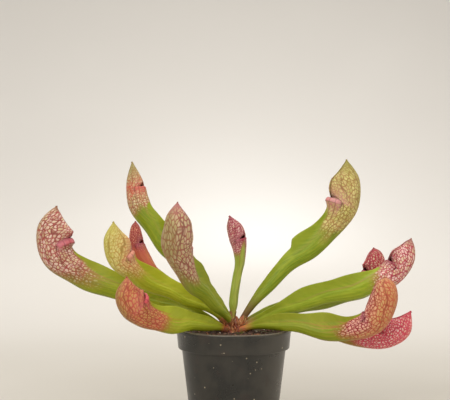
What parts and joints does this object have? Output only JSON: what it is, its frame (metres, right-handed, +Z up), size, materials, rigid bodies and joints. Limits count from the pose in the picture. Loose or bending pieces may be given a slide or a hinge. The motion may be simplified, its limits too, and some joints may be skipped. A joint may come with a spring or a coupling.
{
  "type": "potted pitcher plant",
  "caption": "Young trumpet pitcher plant with hooded, net-veined pitchers radiating from a crown in a small round black nursery pot.",
  "frame": {"origin": "middle of the underside of the pot, on the surface that it stands on", "axes": "+Z up along the pot's axis; -Y is the front, as in the picture; +X is to the right"},
  "size_m": [0.3136, 0.1697, 0.2151],
  "materials": {
    "pot_plastic": "satin black moulded plastic, lightly scuffed",
    "potting_mix": "moist dark peat with bark, grit and moss",
    "crown": "dry red-brown leaf bases and scales",
    "pitcher_far_left": "waxy leaf, green tube with a net of red-brown veins over the pale hood",
    "pitcher_left_yellow": "waxy leaf, green tube with a net of red-brown veins over the pale hood",
    "pitcher_back_left": "waxy leaf, green tube with a net of red-brown veins over the pale hood",
    "pitcher_small_red": "waxy leaf, green tube with a net of red-brown veins over the pale hood",
    "pitcher_front_left": "waxy leaf, green tube with a net of red-brown veins over the pale hood",
    "pitcher_low_left": "waxy leaf, green tube with a net of red-brown veins over the pale hood",
    "pitcher_small_centre": "waxy leaf, green tube with a net of red-brown veins over the pale hood",
    "pitcher_upper_right": "waxy leaf, green tube with a net of red-brown veins over the pale hood",
    "pitcher_right": "waxy leaf, green tube with a net of red-brown veins over the pale hood",
    "pitcher_back_right": "waxy leaf, green tube with a net of red-brown veins over the pale hood",
    "pitcher_front_right": "waxy leaf, green tube with a net of red-brown veins over the pale hood",
    "pitcher_low_right": "waxy leaf, green tube with a net of red-brown veins over the pale hood"
  },
  "bodies": {
    "root": {"pot": "pot_plastic", "potting_mix": "potting_mix", "crown": "crown", "pitcher_far_left": "pitcher_far_left", "pitcher_left_yellow": "pitcher_left_yellow", "pitcher_back_left": "pitcher_back_left", "pitcher_small_red": "pitcher_small_red", "pitcher_front_left": "pitcher_front_left", "pitcher_low_left": "pitcher_low_left", "pitcher_small_centre": "pitcher_small_centre", "pitcher_upper_right": "pitcher_upper_right", "pitcher_right": "pitcher_right", "pitcher_back_right": "pitcher_back_right", "pitcher_front_right": "pitcher_front_right", "pitcher_low_right": "pitcher_low_right"}
  },
  "joints": []
}
